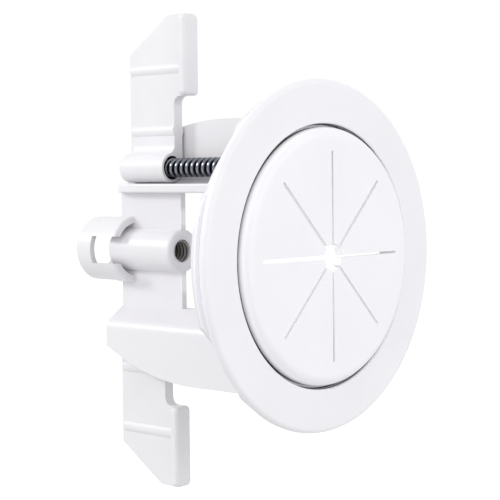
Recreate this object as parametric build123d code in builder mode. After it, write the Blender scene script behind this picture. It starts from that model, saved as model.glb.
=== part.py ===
from build123d import *

import os
from math import radians, sin, sqrt

# Cable pass-through wall plate, in millimetres.
# Y = 0 is the plane of the wall face and the Y axis is the axis of the plate. The room is on the -Y side,
# the cavity behind the wall is on the +Y side, and +Z is up.
# The body has a half-turn symmetry about the plate axis: the lower wing, screw and pocket are the
# upper ones turned by 180 degrees about Y.

# Trim ring seen from the room
plate_radius = 45.0
ring_face_width = 11.2
ring_front_depth = 5.3
ring_edge_thickness = 1.9
ring_groove_depth = 2.0
ring_outer_round = 1.25
ring_back_round = 0.4
ring_lip_thickness = 2.2
ring_lip_round = 0.4

# Slotted cover, held by its rim between the ring and the flange
cover_gap = 0.9
cover_proud = 1.9
cover_thickness = 2.0
cover_edge_round = 2.6
cover_inner_round = 0.6
cover_rim_width = 2.6
cover_rim_clearance = 0.25
cover_hole_radius = 3.4
slit_count = 8
slit_inset = 6.0
slit_width = 0.65
upper_slit_width = 0.85
upper_slit_angle = 45.0
wide_slit_width = 1.2
wide_slit_angle = 180.0
leaf_tip_round = 0.4

# Flange and collar of the frame
flange_inset = 1.7
flange_thickness = 1.4
flange_edge_round = 0.4
flange_bore_step = 0.6
flat_angle = 36.0
flat_depth = 2.2
flat_curve_radius = 60.0
ear_proud = 0.9
flange_overlap = 5.4
collar_wall = 1.9
collar_depth = 5.0

# Two pockets that guide the wings, reaching back from the collar
frame_depth = 70.0
screw_inset = 14.7
pocket_inset = 1.4
pocket_back_drop = 9.1
pocket_curve_length = 35.4
pocket_wall_x = 7.65
pocket_wall = 2.65
shelf_thickness = 2.6
shelf_edge_x = 3.6
shelf_edge_round = 0.6
shelf_corner_round = 2.6
shelf_gap = 0.3
ridge_rise = 4.7
ridge_round = 3.4
pocket_floor_round = 0.8
seat_thickness = 2.4
seat_left_x = 6.5
seat_round = 3.0

# Web between the pockets, with the centre boss
web_thickness = 1.8
web_length = 24.1
boss_radius = 6.1
boss_proud = 0.3
boss_front_round = 1.2
boss_bore_radius = 3.18
boss_mouth_radius = 3.95
boss_mouth_depth = 1.2

# Cup around the back end of the centre boss, open to the front and slotted on both sides
cup_radius = 9.25
cup_wall = 1.6
cup_overlap = 5.3
cup_length = 16.0
cup_back_wall = 2.2
cup_hole_radius = 5.8
cup_slot_height = 7.8
cup_slot_length = 9.9
cup_step = 0.35
cup_front_round = 0.8
cup_back_round = 0.6

# Wing screws
screw_radius = 2.7
screw_clearance = 0.06
screw_end_inset = 5.0
screw_point_length = 3.0
screw_point_radius = 0.9
head_radius = 4.7
head_height = 2.7
head_round = 1.6
head_gap = 0.05
recess_arm = 2.6
recess_slot = 1.0
recess_depth = 1.7

# Wings: rises are measured from the axis of the screw, insets from the back of the frame
wing_boss_radius = 4.1
wing_boss_inset = 2.0
wing_boss_end_round = 1.2
wing_mouth_radius = 3.35
wing_mouth_depth = 2.4
blade_inner_x = 0.95
blade_inset = 2.6
blade_depth = 17.5
blade_rise = 42.6
blade_top_depth = 7.6
blade_chamfer_rise = 32.2
blade_root_round = 2.4
notch_round = 2.2
pad_inner_x = -0.4
pad_width = 5.9
pad_step = 5.6
pad_thickness = 2.5
pad_rise = 20.0
pad_corner_round = 1.4
pad_front_round = 1.0
pad_back_round = 0.5
bead_proud = 0.55
bead_end_round = 1.6
low_bead_rise = 10.4
high_bead_rise = 27.7

# Sizes that follow from the ones above
ring_bore = plate_radius - ring_face_width
ring_edge_back = ring_front_depth - ring_edge_thickness
ring_groove_radius = plate_radius - ring_groove_depth
rim_front = ring_front_depth - ring_lip_thickness
cover_radius = ring_bore - cover_gap
cover_front = ring_front_depth + cover_proud
rim_radius = cover_radius + cover_rim_width
rim_seat_radius = rim_radius + cover_rim_clearance
slit_end_radius = cover_radius - slit_inset
flange_radius = plate_radius - flange_inset
flange_bore_radius = ring_bore + flange_bore_step
ear_radius = flange_radius + ear_proud
ear_height = 2 * ear_radius * sin(radians(flat_angle))
collar_radius = flange_radius - flange_overlap
collar_bore = collar_radius - collar_wall
pocket_reach = collar_radius - pocket_inset
pocket_back_reach = pocket_reach - pocket_back_drop
pocket_curve_start = frame_depth - pocket_curve_length
screw_height = collar_radius - screw_inset
shelf_top = screw_height - wing_boss_radius - shelf_gap
shelf_under = shelf_top - shelf_thickness
ridge_height = shelf_under + ridge_rise
half_web = web_thickness / 2
inner_wall_x = pocket_wall_x - pocket_wall
floor_slope = ridge_rise / (pocket_wall_x - half_web)
floor_break_x = (wing_boss_radius + shelf_gap) * (sqrt(1 + floor_slope**2) - 1) / floor_slope
inner_corner = shelf_top + floor_slope * (inner_wall_x - floor_break_x)
web_front = frame_depth - web_length
boss_front = web_front - boss_proud
cup_front = frame_depth - cup_overlap
cup_back = cup_front + cup_length
cup_slot_end = cup_front + cup_slot_length
screw_bore = screw_radius + screw_clearance
screw_tip = frame_depth - screw_end_inset
wing_boss_back = frame_depth - wing_boss_inset
blade_back = frame_depth - blade_inset
blade_front = blade_back - blade_depth
blade_outer_x = wing_boss_radius
blade_tip = screw_height + blade_rise
blade_chamfer_low = screw_height + blade_chamfer_rise
blade_root_top = screw_height + wing_boss_radius + 2 * blade_root_round
pad_front = blade_front - pad_step
pad_low = screw_height + pad_rise
blade_top_back = pad_front + blade_top_depth
pad_middle = pad_front + pad_thickness / 2
bead_x = (blade_inner_x + blade_outer_x) / 2
bead_radius = (blade_outer_x - blade_inner_x) / 2 + bead_proud
bead_levels = (screw_height + low_bead_rise, screw_height + high_bead_rise)


def wall_plane(depth, side=1):
    """Plane parallel to the wall, depth behind its face. Side -1 turns it half round the plate axis."""
    return Plane(origin=(0, depth, 0), x_dir=(side, 0, 0), z_dir=(0, -1, 0))


def edge_plane(side=1):
    """Upright plane through the plate axis, square to the wall, with depth as its first axis."""
    return Plane(origin=(0, 0, 0), x_dir=(0, 1, 0), z_dir=(side, 0, 0))


def corner(sketch, x, y):
    """The vertex of a sketch at x, y of its own plane."""
    return sketch.vertices().sort_by_distance((x, y, 0))[0]


# Section of a wing pocket: a shelf under the wing boss, a sloping floor and a side wall
with BuildSketch(Plane.XY) as pocket_section:
    with BuildLine():
        Polyline(
            (-shelf_edge_x, shelf_under),
            (half_web, shelf_under),
            (pocket_wall_x, ridge_height),
            (pocket_wall_x, pocket_reach),
            (inner_wall_x, pocket_reach),
            (inner_wall_x, inner_corner),
            (floor_break_x, shelf_top),
            (-shelf_edge_x, shelf_top),
            close=True,
        )
    make_face()
    fillet(corner(pocket_section, pocket_wall_x, ridge_height), ridge_round)
    fillet(corner(pocket_section, inner_wall_x, inner_corner), pocket_floor_round)

# Frame: flange, collar, wing pockets, web, centre boss and cup, moulded in one piece
with BuildPart() as frame:
    # Cup around the back end of the centre boss
    with BuildSketch(wall_plane(cup_front)):
        Circle(cup_radius)
    extrude(amount=cup_front - cup_back)
    fillet(frame.edges().sort_by(Axis.Y)[-1], cup_back_round)
    with BuildSketch(wall_plane(cup_front)):
        Circle(cup_radius + cup_step)
    extrude(amount=cup_front - frame_depth)
    fillet(frame.edges().sort_by(Axis.Y)[0], cup_front_round)
    with BuildSketch(wall_plane(cup_front)):
        Circle(cup_radius - cup_wall)
    extrude(amount=cup_front - cup_back + cup_back_wall, mode=Mode.SUBTRACT)
    with BuildSketch(wall_plane(cup_back)):
        Circle(cup_hole_radius)
    extrude(amount=cup_back_wall, mode=Mode.SUBTRACT)
    with BuildSketch(wall_plane(cup_front)):
        Rectangle(3 * cup_radius, cup_slot_height)
    extrude(amount=cup_front - cup_slot_end, mode=Mode.SUBTRACT)

    # Wing pockets, with the outer edge of the side wall curving in towards the back
    curve_drop = pocket_reach - pocket_back_reach
    for side in (1, -1):
        with BuildSketch(wall_plane(0, side)):
            add(pocket_section.sketch)
        extrude(amount=-frame_depth)
        with BuildSketch(edge_plane(side)):
            with BuildLine():
                TangentArc(
                    (pocket_curve_start, pocket_reach),
                    (frame_depth, pocket_back_reach),
                    tangent=(1, 0),
                )
                Polyline(
                    (frame_depth, pocket_back_reach),
                    (frame_depth, pocket_reach + curve_drop),
                    (pocket_curve_start, pocket_reach + curve_drop),
                    (pocket_curve_start, pocket_reach),
                )
            make_face()
        extrude(amount=pocket_wall_x, both=True, mode=Mode.SUBTRACT)
        # Rounded back corner and rounded edge of the shelf
        shelf_back_corner = (-side * shelf_edge_x, frame_depth, side * shelf_top)
        fillet(frame.edges().filter_by(Axis.Z).sort_by_distance(shelf_back_corner)[0], shelf_corner_round)
        shelf_front_corner = (-side * shelf_edge_x, 0, side * shelf_top)
        shelf_end = frame.faces().filter_by(Axis.X).sort_by_distance(shelf_front_corner)[0]
        fillet(shelf_end.edges().filter_by(Axis.Y), shelf_edge_round)

    # Centre boss with a dished mouth and a bore right through, on the web between the pockets
    with BuildSketch(wall_plane(boss_front)):
        Circle(boss_radius)
    extrude(amount=boss_front - frame_depth)
    boss_rim = frame.edges().filter_by(GeomType.CIRCLE).filter_by_position(Axis.Y, boss_front, boss_front)
    fillet(boss_rim, boss_front_round)
    with BuildSketch(wall_plane(web_front)):
        Rectangle(web_thickness, shelf_under + shelf_top)
    extrude(amount=web_front - frame_depth)
    with BuildSketch(wall_plane(boss_front)):
        Circle(boss_bore_radius)
    extrude(amount=boss_front - frame_depth, mode=Mode.SUBTRACT)
    bore_rim = frame.edges().filter_by(GeomType.CIRCLE).filter_by_position(Axis.Y, boss_front, boss_front)
    chamfer(bore_rim.sort_by(SortBy.RADIUS)[0], boss_mouth_depth, boss_mouth_radius - boss_bore_radius)

    # Collar that enters the hole in the wall
    with BuildSketch(wall_plane(0)):
        Circle(collar_radius)
        Circle(collar_bore, mode=Mode.SUBTRACT)
    extrude(amount=-collar_depth)

    # Seats for the screw heads, across the front of the pockets
    for side in (1, -1):
        with BuildSketch(wall_plane(0, side)) as seat:
            with BuildLine():
                Polyline(
                    (-seat_left_x, shelf_under),
                    (pocket_wall_x, shelf_under),
                    (pocket_wall_x, pocket_reach),
                    (-seat_left_x, pocket_reach),
                    close=True,
                )
            make_face()
            fillet(seat.vertices().group_by(Axis.Y)[0], seat_round)
            with Locations((0, screw_height)):
                Circle(screw_bore, mode=Mode.SUBTRACT)
        extrude(amount=-seat_thickness)

    # Flange disc with an ear on each side, set off by four shallow flats on its edge
    with BuildSketch(wall_plane(0)):
        Circle(ear_radius)
        Rectangle(3 * ear_radius, ear_height, mode=Mode.INTERSECT)
        Circle(flange_radius)
        for start in (flat_angle, -flat_angle):
            with PolarLocations(flange_radius - flat_depth + flat_curve_radius, 2, start_angle=start):
                Circle(flat_curve_radius, mode=Mode.SUBTRACT)
        Circle(flange_bore_radius, mode=Mode.SUBTRACT)
    extrude(amount=flange_thickness)
    flange_rim = frame.faces().sort_by(Axis.Y)[0].outer_wire().edges()
    fillet(flange_rim, flange_edge_round)
frame.part.label = "frame"

# Trim ring over the flange, with a groove between its outer edge and the flange
with BuildPart() as trim_ring:
    with BuildSketch(Plane.XY) as ring_section:
        with BuildLine():
            Polyline(
                (ring_bore, -ring_front_depth),
                (plate_radius, -ring_front_depth),
                (plate_radius, -ring_edge_back),
                (ring_groove_radius, -ring_edge_back),
                (ring_groove_radius, -flange_thickness),
                (rim_seat_radius, -flange_thickness),
                (rim_seat_radius, -rim_front),
                (ring_bore, -rim_front),
                close=True,
            )
        make_face()
        fillet(corner(ring_section, plate_radius, -ring_front_depth), ring_outer_round)
        fillet(corner(ring_section, plate_radius, -ring_edge_back), ring_back_round)
        fillet(corner(ring_section, ring_bore, -ring_front_depth), ring_lip_round)
    revolve(axis=Axis.Y)
trim_ring.part.label = "trim_ring"

# Slotted cover: a shallow flexible cap whose slits part it into leaves around the centre hole
with BuildPart() as slotted_cover:
    with BuildSketch(Plane.XY) as cover_section:
        with BuildLine():
            Polyline(
                (0, -cover_front),
                (cover_radius, -cover_front),
                (cover_radius, -rim_front),
                (rim_radius, -rim_front),
                (rim_radius, -flange_thickness),
                (cover_radius - cover_thickness, -flange_thickness),
                (cover_radius - cover_thickness, cover_thickness - cover_front),
                (0, cover_thickness - cover_front),
                close=True,
            )
        make_face()
        fillet(corner(cover_section, cover_radius, -cover_front), cover_edge_round)
        inner_corner_point = corner(
            cover_section, cover_radius - cover_thickness, cover_thickness - cover_front
        )
        fillet(inner_corner_point, cover_inner_round)
    revolve(axis=Axis.Y)
    with BuildSketch(wall_plane(-cover_front)) as cover_cuts:
        Circle(cover_hole_radius)
        with PolarLocations(slit_end_radius / 2, slit_count):
            SlotOverall(slit_end_radius, slit_width)
        for angle in (upper_slit_angle, wide_slit_angle - upper_slit_angle):
            with PolarLocations(slit_end_radius / 2, 1, start_angle=angle):
                SlotOverall(slit_end_radius, upper_slit_width)
        with PolarLocations(slit_end_radius / 2, 1, start_angle=wide_slit_angle):
            SlotOverall(slit_end_radius, wide_slit_width)
        fillet(cover_cuts.vertices().sort_by_distance((0, 0, 0))[: 2 * slit_count], leaf_tip_round)
    extrude(amount=-cover_thickness, mode=Mode.SUBTRACT)
slotted_cover.part.label = "slotted_cover"

# Pad of a wing, which grips the back of the wall
with BuildPart() as pad:
    with BuildSketch(wall_plane(pad_front)) as pad_outline:
        with Locations((pad_inner_x, pad_low)):
            Rectangle(pad_width, blade_tip - pad_low, align=(Align.MIN, Align.MIN))
        fillet(pad_outline.vertices(), pad_corner_round)
    extrude(amount=-pad_thickness)
    fillet(pad.faces().sort_by(Axis.Y)[0].edges(), pad_front_round)
    fillet(pad.faces().sort_by(Axis.Y)[-1].edges(), pad_back_round)

# Two rounded beads that run along the blade of a wing and stand proud of both its faces
with BuildPart() as beads:
    for level in bead_levels:
        bead_front = blade_front if level < pad_low else pad_middle
        with BuildSketch(wall_plane(bead_front)):
            with Locations((bead_x, level)):
                Circle(bead_radius)
        extrude(amount=bead_front - blade_back - bead_proud)
    bead_rims = beads.edges().filter_by(GeomType.CIRCLE)
    fillet(bead_rims.filter_by_position(Axis.Y, blade_back, blade_back + 2 * bead_proud), bead_end_round)

# Wing: a flat blade beside its screw boss, with a pad that grips the back of the wall
with BuildPart() as wing:
    # Boss and blade root
    with BuildSketch(wall_plane(blade_front)):
        with Locations((0, screw_height)):
            Circle(wing_boss_radius)
    extrude(amount=blade_front - wing_boss_back)
    fillet(wing.edges().filter_by(GeomType.CIRCLE).sort_by(Axis.Y)[-1], wing_boss_end_round)
    with BuildSketch(wall_plane(blade_front)) as root_section:
        with Locations((0, screw_height)):
            Circle(wing_boss_radius)
        with Locations((blade_inner_x, screw_height)):
            Rectangle(
                blade_outer_x - blade_inner_x,
                blade_root_top - screw_height,
                align=(Align.MIN, Align.MIN),
            )
        root_rise = sqrt(wing_boss_radius**2 - blade_inner_x**2)
        fillet(corner(root_section, blade_inner_x, screw_height + root_rise), blade_root_round)
    extrude(amount=blade_front - blade_back + wing_boss_end_round)

    # Blade with the notch below the pad and the sloping back corner at the tip
    blade_low = screw_height + wing_boss_radius - wing_boss_end_round
    with BuildSketch(edge_plane().offset(blade_inner_x)) as blade_outline:
        with BuildLine():
            Polyline(
                (blade_front, blade_low),
                (blade_front, pad_low),
                (pad_middle, pad_low),
                (pad_middle, blade_tip),
                (blade_top_back, blade_tip),
                (blade_back, blade_chamfer_low),
                (blade_back, blade_low),
                close=True,
            )
        make_face()
        fillet(corner(blade_outline, blade_front, pad_low), notch_round)
    extrude(amount=blade_outer_x - blade_inner_x)

    add(beads.part)
    add(pad.part)

    # Screw hole through the boss, with a wider mouth
    with BuildSketch(wall_plane(blade_front)):
        with Locations((0, screw_height)):
            Circle(screw_bore)
    extrude(amount=blade_front - wing_boss_back, mode=Mode.SUBTRACT)
    with BuildSketch(wall_plane(blade_front)):
        with Locations((0, screw_height)):
            Circle(wing_mouth_radius)
    extrude(amount=-wing_mouth_depth, mode=Mode.SUBTRACT)

# Wing screw: pan head with a cross recess, plain shank at the size of its thread, pointed tip
with BuildPart() as screw:
    with BuildSketch(Plane.XY) as screw_section:
        with BuildLine():
            Polyline(
                (0, -head_gap - head_height),
                (head_radius, -head_gap - head_height),
                (head_radius, -head_gap),
                (screw_radius, -head_gap),
                (screw_radius, screw_tip - screw_point_length),
                (screw_point_radius, screw_tip),
                (0, screw_tip),
                close=True,
            )
        make_face()
        fillet(corner(screw_section, head_radius, -head_gap - head_height), head_round)
    revolve(axis=Axis.Y)
    with BuildSketch(wall_plane(-head_gap - head_height)):
        Rectangle(2 * recess_arm, recess_slot)
        Rectangle(recess_slot, 2 * recess_arm)
    extrude(amount=-recess_depth, taper=8, mode=Mode.SUBTRACT)

# The upper and lower wing and screw are the same pieces, half a turn apart
with BuildPart() as upper_wing:
    add(wing.part)
upper_wing.part.label = "upper_wing"
with BuildPart() as lower_wing:
    add(wing.part, rotation=(0, 180, 0))
lower_wing.part.label = "lower_wing"
with BuildPart() as upper_screw:
    with Locations((0, 0, screw_height)):
        add(screw.part)
upper_screw.part.label = "upper_screw"
with BuildPart() as lower_screw:
    with Locations((0, 0, -screw_height)):
        add(screw.part)
lower_screw.part.label = "lower_screw"

os.makedirs("parts", exist_ok=True)
export_step(frame.part, "parts/frame.step")
export_step(trim_ring.part, "parts/trim_ring.step")
export_step(slotted_cover.part, "parts/slotted_cover.step")
export_step(upper_wing.part, "parts/upper_wing.step")
export_step(lower_wing.part, "parts/lower_wing.step")
export_step(upper_screw.part, "parts/upper_screw.step")
export_step(lower_screw.part, "parts/lower_screw.step")
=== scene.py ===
"""Looks for the cable pass-through wall plate: white moulded plastic, dark steel screws, white backdrop."""

import math
from typing import NamedTuple

import bmesh
import bpy
from mathutils import Matrix, Vector


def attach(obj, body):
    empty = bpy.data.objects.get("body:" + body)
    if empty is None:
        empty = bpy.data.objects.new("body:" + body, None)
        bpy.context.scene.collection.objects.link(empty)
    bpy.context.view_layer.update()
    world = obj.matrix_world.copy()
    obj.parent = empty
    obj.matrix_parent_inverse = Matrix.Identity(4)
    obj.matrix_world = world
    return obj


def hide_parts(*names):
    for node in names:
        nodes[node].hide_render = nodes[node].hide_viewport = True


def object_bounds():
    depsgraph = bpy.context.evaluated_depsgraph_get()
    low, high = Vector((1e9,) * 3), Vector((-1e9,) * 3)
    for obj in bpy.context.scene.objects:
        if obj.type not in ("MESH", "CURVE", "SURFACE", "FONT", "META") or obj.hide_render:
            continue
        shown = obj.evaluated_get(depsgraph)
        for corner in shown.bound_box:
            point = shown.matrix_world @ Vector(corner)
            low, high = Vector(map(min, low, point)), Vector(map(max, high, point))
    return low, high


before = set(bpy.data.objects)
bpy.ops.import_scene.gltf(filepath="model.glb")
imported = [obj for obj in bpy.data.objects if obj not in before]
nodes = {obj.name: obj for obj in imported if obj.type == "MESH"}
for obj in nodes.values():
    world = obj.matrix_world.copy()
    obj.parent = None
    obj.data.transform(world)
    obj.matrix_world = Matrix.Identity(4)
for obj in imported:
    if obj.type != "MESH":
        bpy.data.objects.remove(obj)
cad_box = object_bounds()

MM = 0.001
WHITE = (1.0, 1.0, 1.0, 1.0)

# Sizes of the solids in millimetres: depths run along Y into the wall, heights along Z from the plate's axis
SCREW_HEIGHT = 23.2
SCREW_RADIUS = 2.7
SCREW_TIP = 65.0
HEAD_BACK = -0.05
HEAD_FRONT = -2.75
HEAD_RADIUS = 4.7
BOSS_BORE = 3.18
BOSS_FRONT = 45.6
BOSS_MOUTH_DEPTH = 1.2
BOSS_BACK = 70.0
WEB_FRONT = 45.9
WING_FRONT = 49.9
WING_MOUTH_RADIUS = 3.35
FLANGE_FRONT = -1.4
RING_FRONT = -5.3
RING_EDGE_BACK = -3.4
RING_BORE = 33.8
RING_GROOVE_RADIUS = 43.0
COVER_FRONT = -7.2
COVER_THICKNESS = 2.0
COVER_RADIUS = 32.9
COVER_RIM_FRONT = -3.1
SLIT_END_RADIUS = 26.9

# Threads, in millimetres, with the flats of crest and root as shares of the pitch
SCREW_ROOT = 1.85
SCREW_PITCH = 2.05
BOSS_PITCH = 1.27
BOSS_THREAD_RISE = 0.42
BOSS_THREAD_GAP = 0.02
BOSS_THREAD_INSET = 0.2
CREST_FLAT = 0.32
ROOT_FLAT = 0.32
STEPS_ROUND = 40
STEPS_PER_PITCH = 18

# The screw's point: its length in millimetres, and what is left of core and crest at its tip, as shares
POINT_LENGTH = 9.0
TIP_CORE = 0.30
TIP_CREST = 0.34
CORE_TAPER = 0.8
CREST_TAPER = 0.7

# Half the section of a screw's head, from its back to its front, as radius and depth in millimetres
HEAD_PROFILE = (
    (2.2, HEAD_BACK),
    (HEAD_RADIUS, HEAD_BACK),
    (HEAD_RADIUS, HEAD_BACK - 0.9),
    (HEAD_RADIUS - 0.12, HEAD_BACK - 1.3),
    (HEAD_RADIUS - 0.5, HEAD_BACK - 1.9),
    (HEAD_RADIUS - 1.1, HEAD_BACK - 2.35),
    (HEAD_RADIUS - 2.0, HEAD_BACK - 2.62),
    (HEAD_RADIUS - 3.2, HEAD_FRONT),
    (0.4, HEAD_FRONT),
)
HEAD_STEPS = 48

# Block that cuts one bar of the cross recess in millimetres: length, twice the recess's depth, and width
RECESS_BLOCK = (5.2, 3.4, 1.0)

# Colours as they show on a screen, 0 to 1
BODY_TINT = (0.903, 0.898, 0.911)
FACE_TINT = (0.93, 0.93, 0.945)
COVER_TINT = (0.945, 0.943, 0.96)
# Painted shade: the bore of the centre boss is greyer than the white plastic round it
BORE_PAINTED_SHADE_TINT = (0.70, 0.69, 0.67)
STEEL_CREST = (0.47, 0.48, 0.51)
# Painted shade in the roots of the screws' thread
STEEL_ROOT_SHADE = (0.07, 0.07, 0.08)
FLOOR_TINT = (0.80, 0.80, 0.80)

# Noise scales, in cycles per metre
BLOTCH_SCALE = 55.0
MARKS_SCALE = (200.0, 5000.0, 200.0)

# Painted shade in the roots of the screws' thread, in millimetres: how far out from the root it stays full,
# and how uneven its edge is
ROOT_SHADE_REACH = 0.25
ROOT_SHADE_UNEVENNESS = 0.16

GLOSS_SPREAD = 0.05
BUMP_STRENGTH = 0.18
PLASTIC_IOR = 1.46

# Camera, matched to the photograph
SENSOR_WIDTH = 36.0
FOCAL_LENGTH = 99.87
CAMERA_AT = Vector((-275.06, -225.71, 21.15)) * MM
CAMERA_AZIMUTH = math.radians(48.100)
CAMERA_PITCH = math.radians(3.128)
CAMERA_ROLL = math.radians(-0.644)

# Light and floor, in metres
AMBIENT = 0.82
LAMPS_AIM = Vector((0.0, 0.03, 0.0))
FLOOR_DROP = 0.045
FLOOR_HALF_SIDE = 6.0
FLOOR_GLOW = 0.55


class Zone(NamedTuple):
    """Part of a plastic surface where light or shade is painted into the colour, such as painted shade in a
    recess, in millimetres.

    radius gives the distances from the zone's axis, along Y, at which its tone starts and is full.
    depth gives the depths at which it starts and is full, and end the depth at which it stops.
    tone is the colour there as a share of the tint, and height is how far above and below the
    part's axis the zone's axis lies. By default a zone takes in every depth of the part.
    """

    radius: tuple
    tone: float
    depth: tuple = (-9.0, -8.0)
    end: float = 90.0
    height: float = 0.0


def linear(value):
    """Scene-linear value of a tone as it shows on a screen, 0 to 1, by the sRGB curve."""
    return value / 12.92 if value <= 0.04045 else ((value + 0.055) / 1.055) ** 2.4


def colour(tint):
    """Scene-linear colour of red, green and blue as they show on a screen."""
    return (*(linear(value) for value in tint), 1.0)


def feed(tree, socket, value):
    """Sets an input to a value, or links it to another node's output."""
    if isinstance(value, bpy.types.NodeSocket):
        tree.links.new(value, socket)
    else:
        socket.default_value = value


def set_inputs(tree, made, **inputs):
    """Feeds a node's inputs by name. An underscore stands for a space."""
    for label, value in inputs.items():
        feed(tree, made.inputs[label.replace("_", " ")], value)


def add_node(tree, kind, **inputs):
    """A new node of this kind, with its inputs set."""
    made = tree.nodes.new(kind)
    set_inputs(tree, made, **inputs)
    return made


def math_node(tree, operation, *values):
    """Result of a maths node whose inputs are sockets or plain numbers."""
    made = tree.nodes.new("ShaderNodeMath")
    made.operation = operation
    for socket, value in zip(made.inputs, values):
        feed(tree, socket, value)
    return made.outputs["Value"]


def map_range(tree, value, **limits):
    """Result of a map range node, 0 to 1 unless the limits say otherwise."""
    return add_node(tree, "ShaderNodeMapRange", Value=value, **limits).outputs["Result"]


def ramp(tree, share, *stops):
    """A colour ramp over this share, with two stops, each a position and a colour."""
    made = add_node(tree, "ShaderNodeValToRGB", Fac=share)
    for element, (position, shade) in zip(made.color_ramp.elements, stops):
        element.position = position
        element.color = shade
    return made.outputs["Color"]


def axis_distance(tree, place, height=0.0):
    """Distance from an axis along Y at this height in millimetres, or as far below."""
    rise = math_node(tree, "SUBTRACT", math_node(tree, "ABSOLUTE", place.outputs["Z"]), height * MM)
    squares = [math_node(tree, "MULTIPLY", side, side) for side in (place.outputs["X"], rise)]
    return math_node(tree, "SQRT", math_node(tree, "ADD", *squares))


def zone_mask(tree, place, zone):
    """1 where the zone's tone is full, down to 0 outside the zone."""
    radius = axis_distance(tree, place, zone.height)
    within = map_range(tree, radius, From_Min=zone.radius[0] * MM, From_Max=zone.radius[1] * MM)
    deep = map_range(tree, place.outputs["Y"], From_Min=zone.depth[0] * MM, From_Max=zone.depth[1] * MM)
    before_end = math_node(tree, "LESS_THAN", place.outputs["Y"], zone.end * MM)
    return math_node(tree, "MULTIPLY", math_node(tree, "MULTIPLY", within, deep), before_end)


def new_material(name):
    """A new material, its node tree and its Principled shader."""
    material = bpy.data.materials.new(name)
    material.use_nodes = True
    return material, material.node_tree, material.node_tree.nodes["Principled BSDF"]


def plastic(name, tint, roughness, grain_depth, grain_scale, blotch=0.012, zones=()):
    """White moulded plastic: a fine moulded grain, faint broad changes of tone and gloss, and zones of
    painted light and shade.
    """
    material, tree, shader = new_material(name)
    where = add_node(tree, "ShaderNodeTexCoord").outputs["Object"]
    place = add_node(tree, "ShaderNodeSeparateXYZ", Vector=where)

    broad = add_node(tree, "ShaderNodeTexNoise", Vector=where, Scale=BLOTCH_SCALE, Detail=3.0).outputs["Fac"]
    paint = ramp(tree, broad, (0.3, colour(value - blotch for value in tint)), (0.7, colour(tint)))
    # Painted light and shade: each zone mixes a lighter or darker copy of the tint into the colour
    for zone in zones:
        tone = colour(min(1.0, zone.tone * value) for value in tint)
        mask = zone_mask(tree, place, zone)
        paint = add_node(tree, "ShaderNodeMixRGB", Fac=mask, Color1=paint, Color2=tone).outputs["Color"]

    grain = add_node(tree, "ShaderNodeTexNoise", Vector=where, Scale=grain_scale, Detail=4.0)
    bump = add_node(
        tree, "ShaderNodeBump", Strength=BUMP_STRENGTH, Distance=grain_depth * MM, Height=grain.outputs["Fac"]
    )
    set_inputs(
        tree,
        shader,
        Base_Color=paint,
        Roughness=map_range(tree, broad, To_Min=roughness - GLOSS_SPREAD, To_Max=roughness + GLOSS_SPREAD),
        Normal=bump.outputs["Normal"],
        IOR=PLASTIC_IOR,
    )
    return material


def steel(name, smooth, rough):
    """Dark plated steel with fine turning marks, and painted shade that darkens the roots of the thread, so
    the crests show lighter.
    """
    material, tree, shader = new_material(name)
    where = add_node(tree, "ShaderNodeTexCoord").outputs["Object"]
    place = add_node(tree, "ShaderNodeSeparateXYZ", Vector=where)
    stretched = add_node(tree, "ShaderNodeMapping", Vector=where, Scale=MARKS_SCALE).outputs["Vector"]
    marks = add_node(tree, "ShaderNodeTexNoise", Vector=stretched, Scale=1.0, Detail=3.0).outputs["Fac"]

    # Distance from the screw's axis, with a little of the marks mixed in so that the edge of the painted root
    # shade is uneven
    uneven = math_node(tree, "MULTIPLY_ADD", marks, ROOT_SHADE_UNEVENNESS * MM, axis_distance(tree, place))
    root_shade_fade = add_node(
        tree,
        "ShaderNodeMapRange",
        Value=uneven,
        From_Min=(SCREW_ROOT + ROOT_SHADE_REACH) * MM,
        From_Max=SCREW_RADIUS * MM,
    )
    root_shade_fade.interpolation_type = "SMOOTHSTEP"
    paint = ramp(tree, root_shade_fade.outputs["Result"], (0.0, colour(STEEL_ROOT_SHADE)), (1.0, colour(STEEL_CREST)))
    set_inputs(
        tree,
        shader,
        Base_Color=paint,
        Roughness=map_range(tree, marks, To_Min=smooth, To_Max=rough),
        Metallic=1.0,
    )
    return material


def dress(obj, material):
    """Gives every face of obj this material."""
    obj.data.materials.clear()
    obj.data.materials.append(material)


def add_object(name, data):
    """A new object in the scene that shows this data."""
    made = bpy.data.objects.new(name, data)
    bpy.context.scene.collection.objects.link(made)
    return made


def mesh_object(name, mesh):
    """A new object in the scene with the faces of a bmesh, which is freed."""
    data = bpy.data.meshes.new(name)
    mesh.to_mesh(data)
    mesh.free()
    return add_object(name, data)


def skin(name, rings, closed_ends=True):
    """A smooth mesh skinned over rings of points, as many on each, in millimetres."""
    mesh = bmesh.new()
    rows = [[mesh.verts.new(Vector(point) * MM) for point in ring] for ring in rings]
    count = len(rows[0])
    for low, high in zip(rows, rows[1:]):
        for i in range(count):
            j = (i + 1) % count
            mesh.faces.new((low[i], low[j], high[j], high[i]))
    if closed_ends:
        mesh.faces.new(list(reversed(rows[0])))
        mesh.faces.new(rows[-1])
    bmesh.ops.recalc_face_normals(mesh, faces=mesh.faces)
    made = mesh_object(name, mesh)
    for face in made.data.polygons:
        face.use_smooth = True
    return made


def ring_points(radii, depth):
    """Points spread evenly round the Y axis at this depth, one for each radius."""
    angles = [2.0 * math.pi * i / len(radii) for i in range(len(radii))]
    return [
        (radius * math.cos(angle), depth, radius * math.sin(angle)) for radius, angle in zip(radii, angles)
    ]


def thread_height(phase):
    """Height of a rolled thread at this share of its pitch, from 0 at the root to 1 on the crest."""
    phase = phase % 1.0
    away = min(phase, 1.0 - phase) * 2.0
    fall = min(1.0, max(0.0, (away - CREST_FLAT) / (1.0 - ROOT_FLAT - CREST_FLAT)))
    return 0.5 + 0.5 * math.cos(math.pi * fall)


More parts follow.
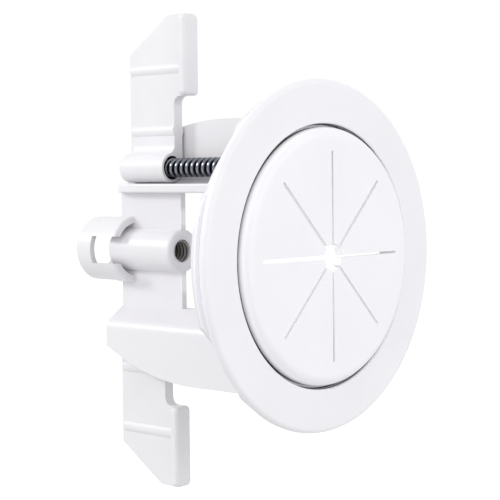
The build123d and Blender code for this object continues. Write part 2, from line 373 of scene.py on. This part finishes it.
def thread_rings(start, end, pitch, radius_at):
    """Rings of points along Y that follow a helical thread. radius_at takes depth and thread height."""
    count = round((end - start) / pitch * STEPS_PER_PITCH)
    rings = []
    for row in range(count + 1):
        depth = start + (end - start) * row / count
        heights = [thread_height(depth / pitch - i / STEPS_ROUND) for i in range(STEPS_ROUND)]
        rings.append(ring_points([radius_at(depth, height) for height in heights], depth))
    return rings


def screw_radius_at(depth, height):
    """The shank tapers to a point over its last stretch, and the thread fades with it."""
    left = max(0.0, min(1.0, (SCREW_TIP - depth) / POINT_LENGTH))
    core = SCREW_ROOT * (TIP_CORE + (1.0 - TIP_CORE) * left**CORE_TAPER)
    crest = SCREW_RADIUS * (TIP_CREST + (1.0 - TIP_CREST) * left**CREST_TAPER)
    return core + (crest - core) * height


def boss_radius_at(depth, height):
    """Internal thread of the centre boss, the same at every depth: its crests reach into the bore."""
    return BOSS_BORE - BOSS_THREAD_GAP - BOSS_THREAD_RISE * height


def cut_recess(head):
    """Cuts the cross recess into the front of a screw's head."""
    cutters = []
    for angle in (0.0, math.pi / 2):
        block = bmesh.new()
        bmesh.ops.create_cube(block, size=1.0)
        sides = Matrix.Diagonal((*(side * MM for side in RECESS_BLOCK), 1.0))
        place = Matrix.Translation((0, HEAD_FRONT * MM, 0)) @ Matrix.Rotation(angle, 4, "Y")
        bmesh.ops.transform(block, matrix=place @ sides, verts=block.verts)
        cutter = mesh_object("recess", block)
        cut = head.modifiers.new("recess", "BOOLEAN")
        cut.operation = "DIFFERENCE"
        cut.object = cutter
        cutters.append(cutter)
    bpy.context.view_layer.update()
    evaluated = head.evaluated_get(bpy.context.evaluated_depsgraph_get())
    finished = bpy.data.meshes.new_from_object(evaluated)
    head.modifiers.clear()
    head.data = finished
    for cutter in cutters:
        bpy.data.objects.remove(cutter)


def screw_piece(name, body, node, height):
    """A wing screw: the threaded shank stands for the plain solid, and the head follows the solid's."""
    shank = skin(name, thread_rings(HEAD_BACK, SCREW_TIP, SCREW_PITCH, screw_radius_at))
    head = skin(name + "_head", [ring_points([radius] * HEAD_STEPS, depth) for radius, depth in HEAD_PROFILE])
    for piece in (shank, head):
        dress(piece, dark_steel)
    cut_recess(head)
    for piece in (shank, head):
        piece.location = (0, 0, height * MM)
        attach(piece, body)
    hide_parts(node)


def lamp(name, energy, location, size):
    """A square lamp of this power and side, turned towards the part."""
    data = bpy.data.lights.new(name, "AREA")
    data.energy = energy
    data.size = size
    made = add_object(name, data)
    made.location = location
    made.rotation_mode = "QUATERNION"
    made.rotation_quaternion = (LAMPS_AIM - Vector(location)).to_track_quat("-Z", "Y")


# Materials

# Frame: painted light makes the web's front edge lighter above and below the boss, and the flange's front
# lighter too
body_plastic = plastic(
    "white_body",
    tint=BODY_TINT,
    roughness=0.33,
    grain_depth=0.06,
    grain_scale=2600.0,
    zones=[
        Zone(
            height=9.3,
            radius=(3.1, 1.5),
            depth=(WEB_FRONT - 0.2, WEB_FRONT - 0.1),
            end=WEB_FRONT + 0.2,
            tone=1.09,
        ),
        Zone(radius=(40.0, 41.0), end=FLANGE_FRONT + 0.5, tone=1.09),
    ],
)
# Wings: painted shade darkens the mouth round the screw
wing_plastic = plastic(
    "white_wing",
    tint=BODY_TINT,
    roughness=0.42,
    grain_depth=0.06,
    grain_scale=2600.0,
    blotch=0.02,
    zones=[
        Zone(
            height=SCREW_HEIGHT,
            radius=(WING_MOUTH_RADIUS + 0.25, WING_MOUTH_RADIUS + 0.05),
            depth=(WING_FRONT, WING_FRONT + 0.4),
            end=WING_FRONT + 2.7,
            tone=0.35,
        )
    ],
)
# Bore of the centre boss: painted shade, grey over all and darker still in the roots of its thread
bore_painted_shade_plastic = plastic(
    "bore_painted_shade_plastic",
    tint=BORE_PAINTED_SHADE_TINT,
    roughness=0.30,
    grain_depth=0.06,
    grain_scale=2600.0,
    zones=[Zone(radius=(2.80, 3.05), tone=0.22)],
)
# Ring: painted shade darkens the wall of its bore below the cover's gap, and painted light makes the groove
# behind its edge lighter
face_plastic = plastic(
    "white_face",
    tint=FACE_TINT,
    roughness=0.30,
    grain_depth=0.03,
    grain_scale=3400.0,
    zones=[
        Zone(
            radius=(RING_BORE + 0.2, RING_BORE + 0.05),
            depth=(RING_FRONT + 0.5, RING_FRONT + 0.8),
            end=RING_FRONT + 1.2,
            tone=0.3,
        ),
        Zone(
            radius=(RING_GROOVE_RADIUS + 0.6, RING_GROOVE_RADIUS + 0.2),
            depth=(RING_EDGE_BACK - 0.1, RING_EDGE_BACK + 0.1),
            end=0.0,
            tone=1.06,
        ),
    ],
)
# Cover: painted light makes its rounded edge and the walls of its slits lighter, and painted shade darkens
# its side and its rim in the gap
cover_plastic = plastic(
    "white_cover",
    tint=COVER_TINT,
    roughness=0.38,
    grain_depth=0.04,
    grain_scale=3000.0,
    zones=[
        Zone(
            radius=(COVER_RADIUS - 1.1, COVER_RADIUS - 0.4),
            depth=(COVER_FRONT + 0.5, COVER_FRONT + 1.2),
            end=COVER_FRONT + 2.7,
            tone=1.045,
        ),
        Zone(
            radius=(SLIT_END_RADIUS + 1.1, SLIT_END_RADIUS + 0.9),
            depth=(COVER_FRONT + 0.05, COVER_FRONT + 0.15),
            end=COVER_FRONT + COVER_THICKNESS,
            tone=1.055,
        ),
        Zone(
            radius=(COVER_RADIUS - 0.4, COVER_RADIUS - 0.1),
            depth=(COVER_RIM_FRONT - 1.5, COVER_RIM_FRONT - 1.1),
            end=COVER_RIM_FRONT - 0.1,
            tone=0.25,
        ),
        Zone(
            radius=(COVER_RADIUS + 0.5, COVER_RADIUS + 0.6),
            depth=(COVER_RIM_FRONT - 0.2, COVER_RIM_FRONT - 0.1),
            end=COVER_RIM_FRONT + 0.6,
            tone=0.2,
        ),
    ],
)
dark_steel = steel("dark_screw", smooth=0.19, rough=0.31)

dress(nodes["frame"], body_plastic)
dress(nodes["upper_wing"], wing_plastic)
dress(nodes["lower_wing"], wing_plastic)
dress(nodes["trim_ring"], face_plastic)
dress(nodes["slotted_cover"], cover_plastic)

# Pieces
screw_piece("upper_screw_thread", "upper_screw", "upper_screw", SCREW_HEIGHT)
screw_piece("lower_screw_thread", "lower_screw", "lower_screw", -SCREW_HEIGHT)

boss_thread = skin(
    "boss_thread",
    thread_rings(BOSS_FRONT + BOSS_MOUTH_DEPTH, BOSS_BACK - BOSS_THREAD_INSET, BOSS_PITCH, boss_radius_at),
    closed_ends=False,
)
for face in boss_thread.data.polygons:
    face.flip()
dress(boss_thread, bore_painted_shade_plastic)
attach(boss_thread, "plate")

# Camera
camera_data = bpy.data.cameras.new("camera")
camera_data.sensor_width = SENSOR_WIDTH
camera_data.lens = FOCAL_LENGTH
camera_data.clip_start = 0.01
camera_data.clip_end = 50.0
camera = add_object("camera", camera_data)
ahead = Vector((math.sin(CAMERA_AZIMUTH), math.cos(CAMERA_AZIMUTH), 0.0))
forward = ahead * math.cos(CAMERA_PITCH) - Vector((0.0, 0.0, math.sin(CAMERA_PITCH)))
right = Vector((math.cos(CAMERA_AZIMUTH), -math.sin(CAMERA_AZIMUTH), 0.0))
up = right.cross(forward)
right_rolled = right * math.cos(CAMERA_ROLL) + up * math.sin(CAMERA_ROLL)
up_rolled = up * math.cos(CAMERA_ROLL) - right * math.sin(CAMERA_ROLL)
camera.matrix_world = Matrix(
    (
        (right_rolled.x, up_rolled.x, -forward.x, CAMERA_AT.x),
        (right_rolled.y, up_rolled.y, -forward.y, CAMERA_AT.y),
        (right_rolled.z, up_rolled.z, -forward.z, CAMERA_AT.z),
        (0.0, 0.0, 0.0, 1.0),
    )
)
bpy.context.scene.camera = camera

# World: white where it is seen, reflected or seen through, and a plain light on the part
world = bpy.data.worlds.new("studio")
bpy.context.scene.world = world
world.use_nodes = True
world_tree = world.node_tree
world_rays = add_node(world_tree, "ShaderNodeLightPath").outputs
seen = math_node(world_tree, "MAXIMUM", world_rays["Is Camera Ray"], world_rays["Is Transmission Ray"])
shown = math_node(world_tree, "MAXIMUM", seen, world_rays["Is Glossy Ray"])
strength = map_range(world_tree, shown, To_Min=AMBIENT, To_Max=1.0)
set_inputs(world_tree, world_tree.nodes["Background"], Color=WHITE, Strength=strength)

# A small lamp behind on the left, a broad one on the left and a broad one in front
lamp("key", energy=1.4, location=(-0.42, 0.50, 0.32), size=0.14)
lamp("side", energy=1.15, location=(-0.68, -0.06, 0.26), size=0.7)
lamp("room", energy=1.7, location=(0.06, -0.50, 0.04), size=0.8)

# Pale floor below the part, brought up to white where it is seen, and clear from underneath
floor_mesh = bmesh.new()
bmesh.ops.create_grid(floor_mesh, x_segments=1, y_segments=1, size=FLOOR_HALF_SIDE)
floor = mesh_object("floor", floor_mesh)
floor.location = (0.0, 0.0, cad_box[0][2] - FLOOR_DROP)
floor_paint, floor_tree, floor_shader = new_material("pale_floor")
floor_rays = add_node(floor_tree, "ShaderNodeLightPath").outputs
floor_seen = math_node(floor_tree, "MAXIMUM", floor_rays["Is Camera Ray"], floor_rays["Is Glossy Ray"])
set_inputs(
    floor_tree,
    floor_shader,
    Base_Color=colour(FLOOR_TINT),
    Roughness=0.9,
    Specular_IOR_Level=0.0,
    Emission_Color=WHITE,
    Emission_Strength=math_node(floor_tree, "MULTIPLY", floor_seen, FLOOR_GLOW),
)
underside = add_node(floor_tree, "ShaderNodeNewGeometry").outputs["Backfacing"]
clear = add_node(floor_tree, "ShaderNodeBsdfTransparent").outputs["BSDF"]
one_sided = add_node(floor_tree, "ShaderNodeMixShader")
for socket, value in zip(one_sided.inputs, (underside, floor_shader.outputs["BSDF"], clear)):
    feed(floor_tree, socket, value)
set_inputs(floor_tree, floor_tree.nodes["Material Output"], Surface=one_sided.outputs["Shader"])
floor.data.materials.append(floor_paint)

bpy.context.scene.view_settings.view_transform = "Standard"
